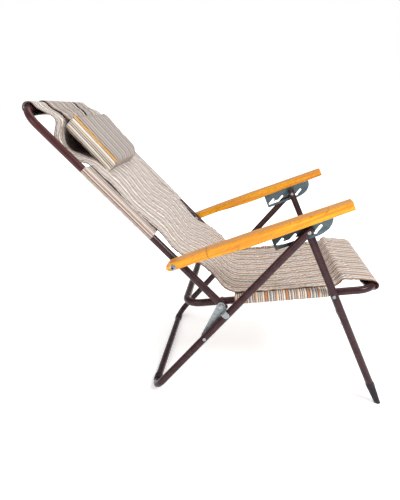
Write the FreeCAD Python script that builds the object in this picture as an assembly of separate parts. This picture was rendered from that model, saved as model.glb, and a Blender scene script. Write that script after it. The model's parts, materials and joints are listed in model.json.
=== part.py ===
import FreeCAD, Part
import math
import os

os.makedirs("parts", exist_ok=True)

Vec = FreeCAD.Vector
yDir = Vec(0, 1, 0)

# All lengths are millimetres. X points to the front of the chair, Z up, Y across.
# The ground is Z 0 and the chair is symmetric about Y 0.

# tubes
tubeR = 11.0
tubeWall = 1.4
fitGap = 0.05          # easy fit of plugs, feet and pins in their holes
runGap = 0.3           # between parts that turn past each other

# half widths, measured to the middle of each tube
seatY = 225.5
backY = 249.0
legY = 276.0
plateIn = 261.0        # inner face of the steel plates
plateT = 2.0
armIn = 261.0
armOut = 306.5

# pivots in side view (X, Z)
topPivot = (267.1, 536.9)
seatPivot = (353.2, 343.8)
mainPivot = (37.0, 300.8)
legAngle = 50.4        # rear leg above the ground
footAngle = -65.3      # front leg, measured forward from the top pivot
backAngle = 135.0
seatAngle = 7.9

# lengths along the tubes
legEnd = 11.0          # rear leg past the top pivot
linkLong = 108.279       # main pivot to link rivet
barZ = 13.0            # middle of the ground bar
legBend = 45.0
frontEnd = 15.0
backEnd = 15.0
backLength = 771.0
backBend = 60.0
armAlong = 186.0       # main pivot to armrest bolt
seatFront = 442.0
seatRear = -112.0
seatBend = 50.0

# pins and bolts
pinR = 3.6
rivetR = 3.0
boltR = 4.0


def ray(degrees):
    a = math.radians(degrees)
    return Vec(math.cos(a), 0, math.sin(a))


def spot(pair, y=0.0):
    return Vec(pair[0], y, pair[1])


class Frame:
    """A tube frame's own axes: along it, across the chair, and out of its plane."""

    def __init__(self, pair, degrees, flip=1):
        self.base = spot(pair)
        self.along = ray(degrees)
        self.out = ray(degrees + 90 * flip)

    def at(self, along, y=0.0, out=0.0):
        return self.base + self.along * along + self.out * out + Vec(0, y, 0)


leg = Frame(topPivot, legAngle)
# down the leg from the top pivot to the rivet, where the link reaches the leg's line
linkReach = spot(mainPivot) - leg.base
linkAside = abs(linkReach.dot(leg.out))
linkAlong = math.sqrt(linkLong ** 2 - linkAside ** 2) - linkReach.dot(leg.along)
foreLeg = Frame(topPivot, footAngle)
back = Frame(mainPivot, backAngle, -1)
seat = Frame(mainPivot, seatAngle)


def rod(start, direction, radius, length):
    return Part.makeCylinder(radius, length, start, direction)


def across(point, y0, y1, radius):
    return rod(Vec(point.x, y0, point.z), yDir, radius, y1 - y0)


def ring(start, direction, outer, inner, length):
    return rod(start, direction, outer, length).cut(rod(start, direction, inner, length))


def pair(shape):
    return [shape, shape.mirror(Vec(0, 0, 0), yDir)]


def fuse(shapes):
    out = shapes[0].fuse(shapes[1:]) if len(shapes) > 1 else shapes[0]
    return out.removeSplitter()


def tubeRun(points, bend, closed=False):
    """Hollow round tube along straight runs joined by bends of one radius."""
    count = len(points)
    corners = range(count) if closed else range(1, count - 1)
    starts = {}
    ends = {}
    pieces = []
    for i in corners:
        p = points[i]
        a = (points[i - 1] - p).normalize()
        b = (points[(i + 1) % count] - p).normalize()
        half = a.getAngle(b) / 2
        setback = bend / math.tan(half)
        ends[i] = p + a * setback
        starts[i] = p + b * setback
        centre = p + (a + b).normalize() * (bend / math.sin(half))
        axis = (b.cross(a)).normalize()
        turn = 180 - math.degrees(2 * half)
        disc = Part.Face(Part.Wire(Part.makeCircle(tubeR, ends[i], a)))
        bore = Part.Face(Part.Wire(Part.makeCircle(tubeR - tubeWall, ends[i], a)))
        first = disc.cut(bore)
        swung = first.revolve(centre, axis, turn)
        if (swung.BoundBox.Center - starts[i]).Length > (
                first.revolve(centre, axis, -turn).BoundBox.Center - starts[i]).Length:
            swung = first.revolve(centre, axis, -turn)
        pieces.append(swung)
    runs = range(count) if closed else range(count - 1)
    for i in runs:
        j = (i + 1) % count
        p = starts.get(i, points[i])
        q = ends.get(j, points[j])
        pieces.append(ring(p, q - p, tubeR, tubeR - tubeWall, (q - p).Length))
    return fuse([s if s.ShapeType == "Solid" else s.Solids[0] for s in pieces])


def capsule(a, b, radius, y0, y1):
    """Flat slab with two round ends, between two points in side view."""
    run = b - a
    side = run.cross(yDir).normalize() * radius
    low = [Vec(p.x, y0, p.z) for p in (a + side, b + side, b - side, a - side)]
    slab = Part.Face(Part.makePolygon(low + [low[0]])).extrude(Vec(0, y1 - y0, 0))
    return fuse([slab, across(a, y0, y1, radius), across(b, y0, y1, radius)])


def slab(points, y0, y1):
    low = [Vec(p.x, y0, p.z) for p in points]
    return Part.Face(Part.makePolygon(low + [low[0]])).extrude(Vec(0, y1 - y0, 0))


def sheet(frame, points, thick, y0, y1):
    """Cloth of one thickness above a smooth line through (along, height) points."""
    low = [Vec(a, 0, h) for a, h in points]
    high = []
    for i, p in enumerate(low):
        t = (low[min(i + 1, len(low) - 1)] - low[max(i - 1, 0)]).normalize()
        high.append(p + Vec(-t.z, 0, t.x) * thick)
    curves = []
    ends = []
    for line in (low, high):
        curve = Part.BSplineCurve()
        curve.interpolate([frame.at(p.x, y0, p.z) for p in line])
        curves.append(curve.toShape())
        ends.append((curve.value(curve.FirstParameter), curve.value(curve.LastParameter)))
    edges = [curves[0], Part.makeLine(ends[0][1], ends[1][1]),
             curves[1], Part.makeLine(ends[1][0], ends[0][0])]
    return Part.Face(Part.Wire(Part.__sortEdges__(edges))).extrude(Vec(0, y1 - y0, 0))


def wrap(frame, along, radius, thick, turn, y0, y1):
    """Cloth carried round a cross bar, from its top towards the far side."""
    def p(r, degrees):
        a = math.radians(degrees)
        return frame.at(along + r * math.sin(a), y0, r * math.cos(a))
    inner = Part.Arc(p(radius, 0), p(radius, turn / 2), p(radius, turn)).toShape()
    outer = Part.Arc(p(radius + thick, turn), p(radius + thick, turn / 2), p(radius + thick, 0)).toShape()
    edges = [inner, Part.makeLine(p(radius, turn), p(radius + thick, turn)),
             outer, Part.makeLine(p(radius + thick, 0), p(radius, 0))]
    return Part.Face(Part.Wire(edges)).extrude(Vec(0, y1 - y0, 0))


def bandLoop(frame, start, stop, y, thick):
    """Cloth band round both side tubes, its upper layer sagging a little."""
    def loop(radius):
        topLean = math.radians(4.0)
        lowLean = math.radians(2.0)
        topY = y - radius * math.sin(topLean)
        topZ = radius * math.cos(topLean)
        lowY = y + radius * math.sin(lowLean)
        lowZ = -radius * math.cos(lowLean)
        topSag = topY * math.tan(topLean / 2)
        lowSag = lowY * math.tan(lowLean / 2)

        def p(a, b):
            return frame.at(start, a, b)
        edges = [Part.Arc(p(-topY, topZ), p(0, topZ - topSag), p(topY, topZ)).toShape(),
                 Part.Arc(p(topY, topZ), p(y + radius, 0), p(lowY, lowZ)).toShape(),
                 Part.Arc(p(lowY, lowZ), p(0, lowZ - lowSag), p(-lowY, lowZ)).toShape(),
                 Part.Arc(p(-lowY, lowZ), p(-y - radius, 0), p(-topY, topZ)).toShape()]
        return Part.Face(Part.Wire(edges)).extrude(frame.along * (stop - start))
    return loop(tubeR + fitGap + thick).cut(loop(tubeR + fitGap))


parts = {}

# rear legs with ground bar (root)
toGround = (topPivot[1] - barZ) / math.sin(math.radians(legAngle))
linkSpot = leg.at(-linkAlong)
rear = tubeRun([leg.at(legEnd, -legY), leg.at(-toGround, -legY),
                leg.at(-toGround, legY), leg.at(legEnd, legY)], legBend)
for y in (-legY, legY):
    rear = rear.cut(across(spot(topPivot), y - 2 * tubeR, y + 2 * tubeR, pinR + fitGap))
    rear = rear.cut(across(linkSpot, y - 2 * tubeR, y + 2 * tubeR, rivetR + fitGap))
parts["rear_leg_frame"] = [rear]

boreR = tubeR - tubeWall - fitGap
plugHead = 3.5
plugDeep = 5.0


def plug(frame, end, y, sense=1):
    top = frame.at(end, y)
    way = frame.along * sense
    head = Part.makeCone(tubeR, tubeR - 2.0, plugHead, top, way)
    return fuse([head, rod(top - way * plugDeep, way, boreR, plugDeep)])


parts["rear_leg_end_plugs"] = pair(plug(leg, legEnd, -legY))

clipY = 215.0
clipWide = 26.0
clipT = 2.0
barAt = leg.at(-toGround)
clipRing = ring(Vec(barAt.x, clipY - clipWide / 2, barZ), yDir, tubeR + clipT, tubeR + fitGap, clipWide)
clipPad = Part.makeBox(16.0, clipWide, 5.0, Vec(barAt.x - 8.0, clipY - clipWide / 2, 0))
clipPad = clipPad.cut(across(barAt, 0, 2 * clipY, tubeR + fitGap))
clip = fuse([clipRing, clipPad])
parts["ground_bar_clips"] = pair(clip)

rivetHead = 2.6
rivetHeadR = 5.6
innerHead = 2.0
innerHeadR = 6.0


def dome(point, y, sense, radius, height):
    """Low round head on a flat face, its top towards sense."""
    big = (radius * radius + height * height) / (2 * height)
    ball = Part.makeSphere(big, Vec(point.x, y + sense * (height - big), point.z))
    keep = Part.makeBox(4 * radius, height, 4 * radius,
                        Vec(point.x - 2 * radius, min(y, y + sense * height), point.z - 2 * radius))
    return ball.common(keep)


legOut = legY + tubeR
linkRivet = fuse([across(linkSpot, plateIn, legOut, rivetR), dome(linkSpot, legOut, 1, rivetHeadR, rivetHead)])
parts["link_rivets"] = pair(linkRivet)

topSpot = spot(topPivot)
pinRim = 1.2
pinRimR = 6.6
pinDomeR = 5.4
pinDomeHigh = 2.6
pinOut = fuse([across(topSpot, plateIn + plateT + runGap, legOut, pinR),
               across(topSpot, legOut, legOut + pinRim, pinRimR),
               dome(topSpot, legOut + pinRim, 1, pinDomeR, pinDomeHigh)])
parts["top_pins_outer"] = pair(pinOut)

# front legs
foreIn = backY - tubeR
foreOut = backY + tubeR
footTop = 66.0
footGround = topPivot[1] / math.sin(math.radians(-footAngle))
footSleeve = footGround - footTop / math.sin(math.radians(-footAngle))
footBore = 20.0
tubeEnd = footSleeve + footBore
seatSpot = spot(seatPivot)
for side, y in (("left", backY), ("right", -backY)):
    tube = ring(foreLeg.at(-frontEnd, y), foreLeg.along, tubeR, tubeR - tubeWall, frontEnd + tubeEnd)
    for p, radius in ((topSpot, pinR), (seatSpot, rivetR)):
        tube = tube.cut(across(p, y - 2 * tubeR, y + 2 * tubeR, radius + fitGap))
    parts["front_leg_" + side] = [tube]

collarR = 12.4
collarLong = 15.0
tipR = 8.0
for side, y in (("left", backY), ("right", -backY)):
    start = foreLeg.at(footSleeve, y)
    below = foreLeg.at(footSleeve + collarLong, y)
    length = footGround - footSleeve - collarLong
    # collar, then a slimmer shank that narrows to a rounded tip
    collar = rod(start, foreLeg.along, collarR, collarLong)
    shank = Part.makeCone(11.8, tipR, length + 6.0, below, foreLeg.along)
    foot = fuse([collar, shank])
    foot = foot.cut(rod(start, foreLeg.along, tubeR + fitGap, footBore))
    foot = foot.cut(Part.makeBox(200, 200, 60, Vec(start.x - 50, y - 100, -60)))
    parts["front_foot_" + side] = [foot]

parts["front_leg_top_plugs"] = pair(plug(foreLeg, -frontEnd, -backY, -1))

pinHead = 3.0
pinSunk = 0.5          # the pin starts inside its own head
pinIn = fuse([across(topSpot, foreIn - pinSunk, plateIn - runGap, pinR),
              across(topSpot, foreIn - pinHead, foreIn, pinRimR)])
parts["top_pins_inner"] = pair(pinIn)

seatOut = seatY + tubeR
seatIn = seatY - tubeR
cutPlane = (seatOut + foreIn) / 2
rivetOuter = fuse([across(seatSpot, cutPlane + runGap / 2, foreOut, rivetR),
                   dome(seatSpot, foreOut, 1, rivetHeadR, rivetHead)])
parts["seat_rivets_outer"] = pair(rivetOuter)

# link plates
headR = 12.5
tailR = 11.5
joggleGap = 0.4
earLow = linkAlong - 112.0
earHigh = linkAlong - 93.0
mainSpot = spot(mainPivot)


def linkPlate():
    y0 = plateIn
    y1 = plateIn + plateT
    # straight sides touch both round ends
    run = linkSpot - mainSpot
    lean = math.asin((headR - tailR) / run.Length)
    flat = Part.makeCylinder(headR, plateT, Vec(mainSpot.x, y0, mainSpot.z), yDir)
    tail = Part.makeCylinder(tailR, plateT, Vec(linkSpot.x, y0, linkSpot.z), yDir)
    base = math.atan2(run.z, run.x)
    corners = []
    for sign in (1, -1):
        a = base + sign * (math.pi / 2 - lean)
        n = Vec(math.cos(a), 0, math.sin(a))
        corners.append([mainSpot + n * headR, linkSpot + n * tailR])
    body = slab([corners[0][0], corners[0][1], corners[1][1], corners[1][0]], y0, y1)
    # ear: a tab towards the leg, a web out along its upper side, a disc on its outer face
    web = tubeR + joggleGap

    def q(s, d):
        return leg.at(-s, 0, d)
    mid = (earLow + earHigh) / 2
    tab = slab([q(earLow, web), q(earHigh, web), q(earHigh, web + 14), q(earLow, web + 14)], y0, y1)
    outY = legOut + runGap + 0.7
    wall = slab([q(earLow, web), q(earHigh, web), q(earHigh, web + plateT), q(earLow, web + plateT)],
                y0, outY + plateT)
    lip = slab([q(earLow, 4.0), q(earHigh, 4.0), q(earHigh, web + plateT), q(earLow, web + plateT)],
               outY, outY + plateT)
    disc = across(q(mid, 4.0), outY, outY + plateT, (earHigh - earLow) / 2)
    whole = fuse([flat, tail, body, tab, wall, lip, disc])
    whole = whole.cut(across(mainSpot, y0 - 1, y1 + 1, boltR + fitGap))
    return whole.cut(across(linkSpot, y0 - 1, y1 + 1, rivetR + fitGap))


leftLink = linkPlate()
parts["link_plate_left"] = [leftLink]
parts["link_plate_right"] = [pair(leftLink)[1]]

# seat
corner = [seat.at(seatFront, -seatY), seat.at(seatFront, seatY),
          seat.at(seatRear, seatY), seat.at(seatRear, -seatY)]
loop = tubeRun(corner, seatBend, closed=True)
for y in (-seatY, seatY):
    loop = loop.cut(across(mainSpot, y - 2 * tubeR, y + 2 * tubeR, boltR + fitGap))
    loop = loop.cut(across(seatSpot, y - 2 * tubeR, y + 2 * tubeR, rivetR + fitGap))
parts["seat_frame"] = [loop]

rivetInner = fuse([across(seatSpot, seatIn, cutPlane - runGap / 2, rivetR),
                   dome(seatSpot, seatIn, -1, innerHeadR, innerHead)])
parts["seat_rivets_inner"] = pair(rivetInner)

washer = ring(Vec(mainSpot.x, seatOut, mainSpot.z), yDir, 9.0, boltR + fitGap, foreIn - seatOut - fitGap)
parts["pivot_spacers"] = pair(washer)

bandT = 1.2
seatBandAt = (39.0, 308.0)
parts["seat_support_band"] = [bandLoop(seat, seatBandAt[0], seatBandAt[1], seatY, bandT)]

clothT = 1.6
clothHalf = 205.0
clothLift = tubeR + runGap
meetR = 128.0          # the two cloths meet on an arc about the main pivot
cutHalf = 2 * clothHalf
wrapTurn = 150.0

# along the seat, height above the middle of its tubes
seatPath = [(-62.0, 127.5), (-52.4, 116.0), (-34.0, 96.0), (-17.0, 74.0), (-3.0, 50.0), (14.0, 27.0), (38.0, 14.6),
            (90.0, 13.6), (200.0, 13.8), (300.0, 14.6), (330.0, 19.0), (349.0, 27.5), (359.0, 30.0),
            (369.0, 26.5), (388.0, 21.0), (415.0, 17.0), (432.0, clothLift + 0.8), (seatFront, clothLift)]
seatCloth = sheet(seat, seatPath, clothT, -clothHalf, clothHalf)
seatCloth = seatCloth.common(fuse([across(mainSpot, -cutHalf, cutHalf, meetR - runGap),
                                   slab([seat.at(0, 0, -60), seat.at(500, 0, -60), seat.at(500, 0, 100),
                                         seat.at(0, 0, 100)], -cutHalf, cutHalf)]))
parts["sling_seat"] = [fuse([seatCloth, wrap(seat, seatFront, clothLift, clothT, wrapTurn,
                                             -clothHalf, clothHalf)])]

# main pivot bolts
nutHigh = 6.5
boltHead = 5.0
plateOut = plateIn + plateT


def hexagon(point, y, height, acrossFlats):
    r = acrossFlats / math.sqrt(3)
    corners = [point + ray(60 * i + 15) * r for i in range(6)]
    return slab(corners, y, y + height)


def hexBolt(point, head, nut, radius, acrossFlats):
    shank = across(point, nut - nutHigh - 1.5, head, radius)
    top = hexagon(point, head, boltHead, acrossFlats)
    top = top.common(Part.makeCone(acrossFlats * 0.66, acrossFlats * 0.5, boltHead + 0.4,
                                   Vec(point.x, head, point.z), yDir))
    return fuse([shank, top])


def nutOn(point, nut, radius, acrossFlats):
    return hexagon(point, nut - nutHigh, nutHigh, acrossFlats).cut(
        across(point, nut - nutHigh - 1, nut + 1, radius))


parts["main_pivot_bolts"] = pair(hexBolt(mainSpot, plateOut + fitGap, seatIn - fitGap, boltR, 13.0))
parts["main_pivot_nuts"] = pair(nutOn(mainSpot, seatIn - fitGap, boltR, 13.0))

# back
armSpot = back.at(armAlong)
backTube = tubeRun([back.at(-backEnd, -backY), back.at(backLength, -backY),
                    back.at(backLength, backY), back.at(-backEnd, backY)], backBend)
for y in (-backY, backY):
    backTube = backTube.cut(across(mainSpot, y - 2 * tubeR, y + 2 * tubeR, boltR + fitGap))
    backTube = backTube.cut(across(armSpot, y - 2 * tubeR, y + 2 * tubeR, boltR + fitGap))
parts["back_frame"] = [backTube]
parts["back_tube_plugs"] = pair(plug(back, -backEnd, -backY, -1))

backBandAt = (282.0, backLength - 226.0)
parts["back_support_band"] = [bandLoop(back, backBandAt[0], backBandAt[1], backY, bandT)]

# the cloth along the back, as heights of its under face: a bend up to the seat, slack waves, and a deep
# fold under the head that runs up to the top bar
bendPath = [(122.0, 28.8), (150.0, 21.0), (176.0, 13.6)]
wavePitch = 185.0
wavePeak = 295.0
waveMean = 15.0
waveHigh = 4.6
waveFrom = 203.0
waveTo = backLength - 251.0
waveCount = 14
wavePath = []
for i in range(waveCount + 1):
    a = waveFrom + (waveTo - waveFrom) * i / waveCount
    wavePath.append((a, waveMean + waveHigh * math.cos(2 * math.pi * (a - wavePeak) / wavePitch)))
# distance below the top bar, height
headPath = [(221.0, 11.6), (191.0, 2.5), (163.0, -14.0), (135.0, -22.0), (117.0, -20.5), (104.0, -11.0),
            (91.0, 8.0), (81.0, 24.0), (69.0, 32.0), (53.0, 29.0), (26.0, 18.5), (10.0, clothLift + 1.0),
            (0.0, clothLift)]
backPath = bendPath + wavePath + [(backLength - d, h) for d, h in headPath]
backCloth = sheet(back, backPath, clothT, -clothHalf, clothHalf)
backCloth = backCloth.cut(across(mainSpot, -cutHalf, cutHalf, meetR))
parts["sling_back"] = [fuse([backCloth, wrap(back, backLength, clothLift, clothT, wrapTurn,
                                             -clothHalf, clothHalf)])]

# head pillow and the flap that hangs it from the top bar
pillowHigh = backLength - 83.0
pillowLow = pillowHigh - 185.0
pillowHalf = 135.0
pillowStations = [(0.0, 9.0, 0.96), (0.06, 16.0, 0.99), (0.3, 21.0, 0.985), (0.5, 22.0, 0.98),
                  (0.7, 21.0, 0.985), (0.94, 16.0, 0.99), (1.0, 9.0, 0.96)]


def pillow():
    wires = []
    for share, thick, wide in pillowStations:
        along = pillowLow + (pillowHigh - pillowLow) * share
        middle = 32.0 + 8.0 * share
        half = pillowHalf * wide

        def p(y, h):
            return back.at(along, y, middle + h)
        side = thick * 0.62
        bulge = half + thick * 0.22
        wires.append(Part.Wire([
            Part.Arc(p(-half, side), p(0, thick), p(half, side)).toShape(),
            Part.Arc(p(half, side), p(bulge, 0), p(half, -side)).toShape(),
            Part.Arc(p(half, -side), p(0, -side - 1.5), p(-half, -side)).toShape(),
            Part.Arc(p(-half, -side), p(-bulge, 0), p(-half, side)).toShape()]))
    return Part.makeLoft(wires, True, False)


cushion = pillow()
parts["head_pillow"] = [cushion]
flapLift = clothLift + clothT + runGap
flapDown = [(85.0, 49.0), (75.0, 46.5), (65.0, 41.5), (51.0, 35.0), (26.0, 23.5), (10.0, flapLift + 1.2),
            (0.0, flapLift)]
flapPath = [(backLength - d, h) for d, h in flapDown]
panels = [(-92.0, 95.0), (101.0, 132.0)]
flap = []
for y0, y1 in panels:
    cloth = sheet(back, flapPath, clothT, y0, y1).cut(cushion)
    flap.append(fuse([cloth, wrap(back, backLength, flapLift, clothT, wrapTurn, y0, y1)]))
parts["pillow_straps"] = flap

# armrests
armHeadGap = 0.1
underStart = Vec(166.3, 0, 519.0)     # under edge of the armrest where the comb plate starts
underAngle = 22.5
under = ray(underAngle)
underOut = ray(underAngle - 90)


def onArm(t, d, y=0.0):
    return underStart + under * t + underOut * d + Vec(0, y, 0)


washerT = 1.6
washerR = 8.6
armHeadFlats = 11.0
parts["armrest_bolts"] = pair(hexBolt(armSpot, armOut + washerT + armHeadGap, foreIn - fitGap, boltR,
                                      armHeadFlats))
parts["armrest_nuts"] = pair(nutOn(armSpot, foreIn - fitGap, boltR, 13.0))
parts["armrest_washers"] = pair(ring(Vec(armSpot.x, armOut, armSpot.z), yDir, washerR, boltR + fitGap, washerT))

# outline of the armrest, along its under edge and down from it: under side, rounded rear end, top
armFront = 225.5
armUnder = [(armFront, 0.0), (-60.0, 0.0), (-142.0, -5.0), (-190.0, -9.2), (-279.0, -9.4)]
armRear = [(-290.0, -12.0), (-295.5, -20.5), (-291.0, -29.5), (-281.0, -32.6)]
armTop = [(-190.0, -32.6), (-46.0, -30.4), (40.0, -27.4), (armFront, -22.4)]

combLong = 172.0
combDeep = 45.5
flangeT = 1.6
flangeWide = 22.0
screwR = 2.0
screwAt = (14.0, combLong - 22.0)
screwLong = 16.0
screwY = plateIn + 13.0


screwHead = 3.8
headDeep = 2.0


def screw(t, extra=0.0):
    """Countersunk screw up into the armrest; extra widens it into its own hole."""
    head = onArm(t, -0.1 + extra, screwY)
    cone = Part.makeCone(screwHead + extra, screwR + extra, headDeep, head, underOut * -1)
    return fuse([cone, rod(head, underOut * -1, screwR + extra, screwLong + 2 * extra)])


armRound = 4.0


def armrest():
    outline = [onArm(t, d) for t, d in armUnder + armRear + armTop]
    body = slab(outline, armIn, armOut)
    long = [e for e in body.Edges if abs(e.Vertexes[0].Point.y - e.Vertexes[1].Point.y) < 0.01]
    body = body.makeFillet(armRound, long)
    recess = fuse([slab([onArm(-0.5, 1), onArm(combLong - 19.5, 1), onArm(combLong - 19.5, -flangeT),
                         onArm(-0.5, -flangeT)], armIn - 1, armIn + flangeWide + 0.5)])
    body = body.cut(recess)
    body = body.cut(across(armSpot, armIn - 1, armOut + 1, boltR + fitGap))
    for t in screwAt:
        body = body.cut(screw(t, 2 * fitGap))
    return body


notchStep = 35.6
notchPitch = [28.0 + notchStep * i for i in range(4)]
notchDrop = 21.7
slotR = 3.9
slotRun = (17.5, 10.8)
channelFrom = (10.5, 31.6)
channelTo = (117.0, 34.0)


def comb():
    y0 = plateIn
    y1 = plateIn + plateT
    outline = [onArm(0, -flangeT), onArm(combLong - 20, -flangeT), onArm(combLong - 20, 0),
               onArm(combLong + 1, 0), onArm(combLong - 1, 15),
               onArm(combLong - 8, 27), onArm(combLong - 20, 37), onArm(combLong - 36, 43),
               onArm(combLong - 52, combDeep), onArm(2.0, combDeep), onArm(0, combDeep - 2)]
    plate = slab(outline, y0, y1)
    flange = slab([onArm(0, -flangeT), onArm(combLong - 20, -flangeT), onArm(combLong - 20, 0),
                   onArm(0, 0)], y0, y0 + flangeWide)
    channel = capsule(onArm(*channelFrom), onArm(*channelTo), slotR, y0 - 1, y1 + 1)
    plate = plate.cut(channel)
    for t in notchPitch:
        tip = onArm(t, notchDrop)
        start = onArm(t - slotRun[0], notchDrop + slotRun[1])
        plate = plate.cut(capsule(start, tip, slotR, y0 - 1, y1 + 1))
    whole = fuse([plate, flange])
    for t in screwAt:
        whole = whole.cut(screw(t, fitGap))
        whole = whole.cut(rod(onArm(t, 1, screwY), underOut * -1, screwHead, 1.1))
    return whole


leftArm = armrest()
parts["armrest_left"] = [leftArm]
parts["armrest_right"] = [pair(leftArm)[1]]
leftComb = comb()
parts["comb_plate_left"] = [leftComb]
parts["comb_plate_right"] = [pair(leftComb)[1]]
screws = [screw(t) for t in screwAt]
parts["comb_plate_screws"] = screws + [pair(s)[1] for s in screws]

# write every node
for name, shapes in parts.items():
    solids = [shape.Solids[0] for shape in shapes]
    whole = solids[0] if len(solids) == 1 else Part.makeCompound(solids)
    whole.exportStep("parts/" + name + ".step")
print(len(parts), "nodes")
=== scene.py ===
import json
import math
import bpy
import numpy as np
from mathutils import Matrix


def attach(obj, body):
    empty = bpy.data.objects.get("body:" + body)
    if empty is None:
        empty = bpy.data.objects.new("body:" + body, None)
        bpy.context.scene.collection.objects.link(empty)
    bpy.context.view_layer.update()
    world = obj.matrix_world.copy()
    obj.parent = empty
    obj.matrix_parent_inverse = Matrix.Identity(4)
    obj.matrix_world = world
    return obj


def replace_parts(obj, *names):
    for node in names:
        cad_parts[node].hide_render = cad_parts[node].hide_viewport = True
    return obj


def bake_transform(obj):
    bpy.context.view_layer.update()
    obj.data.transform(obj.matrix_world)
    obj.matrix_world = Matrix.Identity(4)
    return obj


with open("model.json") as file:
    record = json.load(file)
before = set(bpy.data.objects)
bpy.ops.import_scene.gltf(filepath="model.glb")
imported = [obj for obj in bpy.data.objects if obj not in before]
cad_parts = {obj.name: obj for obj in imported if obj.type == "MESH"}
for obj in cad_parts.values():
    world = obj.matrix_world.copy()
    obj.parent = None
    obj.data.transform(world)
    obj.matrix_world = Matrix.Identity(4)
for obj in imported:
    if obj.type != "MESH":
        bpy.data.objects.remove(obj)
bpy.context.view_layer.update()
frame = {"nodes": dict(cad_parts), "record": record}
print("frame loaded")

# camera with a level horizon; its focal length is in pixels of a picture 500 pixels high
view = {"place": (0.1028, -1.42055, 0.85946), "down": 18.4386, "turn": 6.2779,
        "focal": 440, "height": 500, "sensor": 36}
camera = bpy.data.objects.new("camera", bpy.data.cameras.new("camera"))
bpy.context.collection.objects.link(camera)
camera.data.sensor_width = view["sensor"]
camera.data.lens = view["focal"] / view["height"] * view["sensor"]
camera.location = view["place"]
camera.rotation_euler = (math.radians(90 - view["down"]), 0, math.radians(view["turn"]))
bpy.context.scene.camera = camera

# the chair in side view, as its solids have it: the main pivot, the directions along the back and the seat,
# and those out of their planes
mainPivot = np.array([0.0370, 0.3008])
backWay = np.array([-math.sqrt(0.5), math.sqrt(0.5)])
backOut = np.array([math.sqrt(0.5), math.sqrt(0.5)])
seatTilt = math.radians(7.9)
seatWay = np.array([math.cos(seatTilt), math.sin(seatTilt)])
seatOut = np.array([-math.sin(seatTilt), math.cos(seatTilt)])
# metres from the pivot to the bars and the armrest bolt, and the side tubes' radius and own y
topBar = 0.771
frontBar = 0.442
armBolt = mainPivot + backWay * 0.186
tubeR = 0.011
backY = 0.249
seatY = 0.2255
slingHalf = 0.205  # half the width of the sling


def onBack(along, out):
    # side view point, from millimetres along the back and out of its plane
    return mainPivot + backWay * along / 1000 + backOut * out / 1000


def onSeat(along, out):
    # the same for the seat
    return mainPivot + seatWay * along / 1000 + seatOut * out / 1000


def point(pair):
    # side view point as a place in the middle plane
    return (float(pair[0]), 0.0, float(pair[1]))


def feed(tree, sockets, values):
    # links or sets sockets by their name or number
    for key, value in values.items():
        if isinstance(value, Sock):
            tree.links.new(value.out, sockets[key])
        else:
            sockets[key].default_value = value


class Sock:
    # a shader socket; arithmetic on it adds Math nodes, and add() makes any other node

    def __init__(self, tree, out=None):
        self.tree = tree
        self.out = out

    def add(self, kind, inputs=None, output=0, **settings):
        node = self.tree.nodes.new("ShaderNode" + kind)
        for key, value in settings.items():
            setattr(node, key, value)
        feed(self.tree, node.inputs, inputs or {})
        return Sock(self.tree, node.outputs[output])

    def calc(self, operation, *values):
        # Math node on the values given, or on this socket alone
        return self.add("Math", dict(enumerate(values or [self])), operation=operation)

    def __add__(self, other):
        return self.calc("ADD", self, other)

    def __radd__(self, other):
        return self.calc("ADD", other, self)

    def __sub__(self, other):
        return self.calc("SUBTRACT", self, other)

    def __rsub__(self, other):
        return self.calc("SUBTRACT", other, self)

    def __mul__(self, other):
        return self.calc("MULTIPLY", self, other)

    def __rmul__(self, other):
        return self.calc("MULTIPLY", other, self)

    def __truediv__(self, other):
        return self.calc("DIVIDE", self, other)

    def ease(self, low, high):
        # 0 at low and 1 at high, smooth between and flat beyond; low may be the larger
        return self.add("MapRange", {0: self, 1: low, 2: high, 3: 0.0, 4: 1.0},
                        interpolation_type="SMOOTHSTEP")

    def blend(self, a, b):
        # colour a where this is 0, colour b where it is 1
        return self.add("Mix", {0: self, 6: a, 7: b}, 2, data_type="RGBA")

    def part(self, axis):
        return self.add("SeparateXYZ", {0: self}, axis)

    def vector(self, x, y, z):
        return self.add("CombineXYZ", {0: x, 1: y, 2: z})

    def noise(self, scale=1.0, detail=3.0, rough=0.5):
        return self.add("TexNoise", {"Vector": self, "Scale": scale, "Detail": detail, "Roughness": rough})


def surface(name, build, **fixed):
    # principled material: build(start) gives what feeds its sockets, fixed sets plain ones
    mat = bpy.data.materials.new(name)
    mat.use_nodes = True
    tree = mat.node_tree
    sockets = tree.nodes["Principled BSDF"].inputs
    feed(tree, sockets, {key.replace("_", " "): value for key, value in fixed.items()})
    feed(tree, sockets, build(Sock(tree)))
    return mat


def bump(height, strength, distance):
    return height.add("Bump", {"Height": height, "Strength": strength, "Distance": distance})


def place(start):
    # metres in the object's own coordinates
    return start.add("TexCoord", output="Object")


def grey(level):
    # linear grey
    return (level, level, level, 1.0)


def tone(r, g, b):
    # linear colour of three sRGB bytes: a straight foot, then a power of 2.4
    def linear(v):
        v = v / 255
        return v / 12.92 if v <= 0.04045 else ((v + 0.055) / 1.055) ** 2.4
    return (linear(r), linear(g), linear(b), 1.0)


# maroon tube paint, with a painted warm light that turns it redder toward the top
paint = {"dark": tone(44, 20, 23), "light": tone(58, 30, 34),
         "dust": tone(120, 88, 92), "dustShare": 0.1,
         "upper": tone(78, 30, 30), "upperShare": 0.5, "upperFrom": (0.5, 0.75),
         "rough": 0.22}


def paintBuild(start):
    # two tones mixed by a soft noise, a little dust, redder by height as painted warm light, and a fine
    # orange peel
    p = place(start)
    mottle = p.noise(35.0, detail=4.0)
    dust = p.noise(260.0, detail=2.0).ease(0.6, 0.85)
    # painted warm light: the paint turns redder toward the top
    upper = p.part(2).ease(*paint["upperFrom"])
    base = mottle.ease(0.3, 0.7).blend(paint["dark"], paint["light"])
    base = (dust * paint["dustShare"]).blend(base, paint["dust"])
    base = (upper * paint["upperShare"]).blend(base, paint["upper"])
    return {"Base Color": base, "Roughness": paint["rough"] + mottle * 0.1,
            "Normal": bump(p.noise(900.0, detail=2.0), strength=0.12, distance=0.0004)}
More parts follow.
